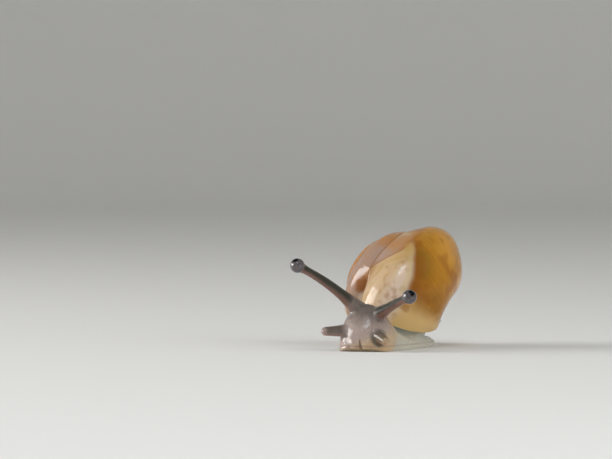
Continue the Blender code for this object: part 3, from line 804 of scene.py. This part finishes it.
def skin_finish():
    """Grey head, pale foot with a beige rim, and feelers dark above and pink below."""
    finish, start, shader = new_finish("wet_skin", IOR=1.4, Specular_IOR_Level=0.35,
                                       Coat_Weight=0.6, Coat_Roughness=0.07, Subsurface_Weight=0.45,
                                       Subsurface_Scale=0.4 * MM, Subsurface_Radius=(1.0, 0.6, 0.45))
    dark = start.add("ShaderNodeAttribute", {"attribute_name": "dark"}, output=2)
    place = start.add("ShaderNodeTexCoord", output=3)
    specks = start.add("ShaderNodeTexNoise", None, {"Vector": place, "Scale": 5200.0, "Detail": 3.0})
    cloud = start.add("ShaderNodeTexNoise", None, {"Vector": place, "Scale": 900.0, "Detail": 2.0})
    sideways, backward, height = [start.add("ShaderNodeSeparateXYZ", None, {0: place}, k) for k in range(3)]
    facing = start.add("ShaderNodeNewGeometry", output=1)
    facing_up = start.add("ShaderNodeSeparateXYZ", None, {0: facing}, 2)
    uneven = (cloud - 0.5) * 0.4 * MM
    head = (backward - height * 0.9 + uneven).rise(-2.9 * MM, -3.9 * MM)
    colour = head.mix(PALE_FOOT, HEAD_GREY)
    rim = (height - sideways * 0.4 + uneven).rise(0.8 * MM, 0.15 * MM)
    colour = (rim * (head * 0.6 + 0.25)).mix(colour, RIM_BEIGE)
    # the marked darkness is the feelers' and head's own colour, with painted shade in the breathing pore and
    # the line between the lips, and a painted highlight on the short feelers' paler tips
    depth = (dark + (cloud - 0.5) * 0.25 + (specks - 0.5) * 0.3).rise(0.0, 1.0)
    feeler = (facing_up + (cloud - 0.5) * 0.6).rise(-0.1, -0.8).mix(FEELER_BROWN, FEELER_PINK)
    colour = (height.near(0.26 * MM, 0.07 * MM) * 0.3).mix(colour, FEELER_PINK)
    colour = depth.mix(colour, feeler)
    start.feed(shader["Base Color"], colour)
    start.feed(shader["Roughness"], specks * 0.15 + 0.22)
    bump = start.add("ShaderNodeBump", None, {"Strength": 0.55, "Distance": 0.02 * MM, "Height": specks})
    start.feed(shader["Normal"], bump)
    return finish


skin = new_object("skin", build_skin_mesh())
skin.data.materials.append(skin_finish())
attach(skin, "root")
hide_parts("head", "neck", "foot", "tail", "mantle", "upper_feeler_left", "upper_feeler_right",
            "lower_feeler_left", "lower_feeler_right")

# The eyes
# The tip of each long feeler swells into a clear, wet bulb of the same skin, drawn tight, without a joint.
# One black eye spot lies under it, lifts it a little, and looks up and forward.
EYE_SPOTS = {"right": (-0.31, 0.83, 0.46), "left": (0.31, 0.57, 0.76)}  # right, up and toward the camera
SPOT_RISE = 0.035
SPOT_REACH = 0.33  # in radians
BULB_DARK = (0.045, 0.038, 0.040)
BULB_GREY = (0.125, 0.108, 0.112)
SPOT_BLACK = (0.0005, 0.0004, 0.0005)


def eye_finish():
    finish, start, shader = new_finish("eye_bulb", IOR=1.4, Specular_IOR_Level=0.3, Coat_Roughness=0.03,
                                       Subsurface_Weight=0.25, Subsurface_Scale=0.2 * MM,
                                       Subsurface_Radius=(1.0, 0.7, 0.6))
    spot = start.add("ShaderNodeAttribute", {"attribute_name": "from_spot"}, output=2)
    place = start.add("ShaderNodeTexCoord", output=3)
    specks = start.add("ShaderNodeTexNoise", None, {"Vector": place, "Scale": 9000.0, "Detail": 2.0})
    bulb = (specks + spot * 0.1).rise(0.35, 0.9).mix(BULB_DARK, BULB_GREY)
    black = (spot + (specks - 0.5) * 0.05).rise(0.50, 0.42)
    start.feed(shader["Base Color"], black.mix(bulb, SPOT_BLACK))
    start.feed(shader["Coat Weight"], 0.8 - black * 0.6)
    start.feed(shader["Roughness"], specks * 0.1 + 0.18)
    return finish


view_azimuth = math.radians(15)
view_height = math.radians(1.5)
view_right = Vector((math.cos(view_azimuth), math.sin(view_azimuth), 0))
view_back = Vector((math.sin(view_azimuth) * math.cos(view_height),
                    -math.cos(view_azimuth) * math.cos(view_height), math.sin(view_height)))
view_up = view_back.cross(view_right)
bulb_skin = eye_finish()
for side, spot in EYE_SPOTS.items():
    root, reach = UPPER_FEELERS[side][:2]
    toward_spot = (view_right * spot[0] + view_up * spot[1] + view_back * spot[2]).normalized()
    bm = bmesh.new()
    bmesh.ops.create_icosphere(bm, subdivisions=5, radius=EYE_RADIUS)
    angles = [toward_spot.angle(v.co) for v in bm.verts]
    for v, angle in zip(bm.verts, angles):
        v.co *= 1 + SPOT_RISE * math.exp(-(angle / SPOT_REACH) ** 4)
    bmesh.ops.translate(bm, verts=bm.verts, vec=root + reach - UNDER_THE_MIDDLE)
    bmesh.ops.scale(bm, verts=bm.verts, vec=(MM, MM, MM))
    mesh = new_mesh("eye_bulb_" + side, bm)
    mesh.attributes.new("from_spot", "FLOAT", "POINT").data.foreach_set("value", angles)
    mesh.materials.append(bulb_skin)
    eye = new_object("eye_bulb_" + side, mesh)
    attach(eye, "root")
    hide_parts("eye_" + side)

# The floor, the light and the camera
# The snail stands in a pale seamless bowl of matt card, under soft boxes with the key light to its right.
# The camera has a long lens and is held close to the floor, a little to the snail's left.
FLOOR_RADIUS = 0.30
FLOOR_CURVE = 0.18
CURVE_STEPS = 12
FLOOR_SIDES = 96
WALL_HEIGHT = 0.40
PALE_FLOOR = (0.80, 0.80, 0.78)
profile = [Vector((0, 0, 0)), Vector((FLOOR_RADIUS, 0, 0))]
for i in range(1, CURVE_STEPS + 1):
    angle = math.pi / 2 * i / CURVE_STEPS
    out, up = FLOOR_CURVE * math.sin(angle), FLOOR_CURVE * (1 - math.cos(angle))
    profile.append(Vector((FLOOR_RADIUS + out, 0, up)))
profile.append(Vector((FLOOR_RADIUS + FLOOR_CURVE, 0, WALL_HEIGHT)))
bm = bmesh.new()
corners = [bm.verts.new(point) for point in profile]
edges = [bm.edges.new(pair) for pair in zip(corners, corners[1:])]
bmesh.ops.spin(bm, geom=corners + edges, axis=(0, 0, 1), cent=(0, 0, 0), steps=FLOOR_SIDES, angle=math.tau)
bmesh.ops.remove_doubles(bm, verts=bm.verts, dist=0.0001)
mesh = new_mesh("studio_floor", bm)
finish, start, shader = new_finish("pale_floor", Roughness=0.9)
shader["Base Color"].default_value = (*PALE_FLOOR, 1.0)
mesh.materials.append(finish)
studio_floor = new_object("studio_floor", mesh)

VIEW_DISTANCE = 0.32
PIXEL = 0.05 * MM  # what one pixel of the picture covers at the snail
PICTURE_SIZE = (612, 459)
MIDDLE = Vector((0.3, 0.0, 2.0))
MIDDLE_PIXEL = (397.2, 307.5)  # where that point falls
SENSOR = 36.0
aim = (MIDDLE - UNDER_THE_MIDDLE) * MM
aim -= view_right * (MIDDLE_PIXEL[0] - PICTURE_SIZE[0] / 2) * PIXEL
aim += view_up * (MIDDLE_PIXEL[1] - PICTURE_SIZE[1] / 2) * PIXEL
camera = new_object("camera", bpy.data.cameras.new("camera"))
camera.location = aim + view_back * VIEW_DISTANCE
camera.rotation_euler = view_back.to_track_quat("Z", "Y").to_euler()
camera.data.sensor_width = SENSOR
camera.data.lens = SENSOR * VIEW_DISTANCE / (PICTURE_SIZE[0] * PIXEL)
camera.data.clip_start = 0.01
bpy.context.scene.camera = camera


WHITE = (1.0, 0.98, 0.97)
WARM_WHITE = (1.0, 0.98, 0.95)
SKY = (0.85, 0.93, 1.0)
ROOM_GREY = (0.9, 0.9, 0.9, 1.0)
ROOM_STRENGTH = 0.30


def add_light(name, direction, distance, width, height, power, colour):
    """A soft box that faces the snail; its direction is right, up and toward the camera."""
    data = bpy.data.lights.new(name, "AREA")
    data.shape = "RECTANGLE"
    data.size = width
    data.size_y = height
    data.energy = power
    data.color = colour
    lamp = new_object(name, data)
    toward = view_right * direction[0] + Vector((0, 0, 1)) * direction[1] + view_back * direction[2]
    toward.normalize()
    lamp.location = toward * distance
    lamp.rotation_euler = toward.to_track_quat("Z", "Y").to_euler()
    lamp.visible_camera = False
    return lamp


add_light("key", (-0.95, 0.25, -0.02), distance=0.22, width=0.18, height=0.09, power=0.52, colour=WHITE)
add_light("window", (-0.06, 0.70, 0.72), distance=0.24, width=0.06, height=0.06, power=0.09, colour=SKY)
fill = add_light("fill", (0.75, 0.42, 0.6), distance=0.24, width=0.20, height=0.20, power=0.28,
                 colour=WARM_WHITE)
fill.visible_glossy = False
bounce = add_light("bounce", (0.35, 0.15, 0.93), distance=0.24, width=0.20, height=0.10, power=0.12,
                   colour=WARM_WHITE)
bounce.visible_glossy = False
world = bpy.data.worlds.new("soft_room")
bpy.context.scene.world = world
world.use_nodes = True
room = world.node_tree.nodes["Background"].inputs
room["Color"].default_value = ROOM_GREY
room["Strength"].default_value = ROOM_STRENGTH
bpy.context.scene.view_settings.view_transform = "Standard"
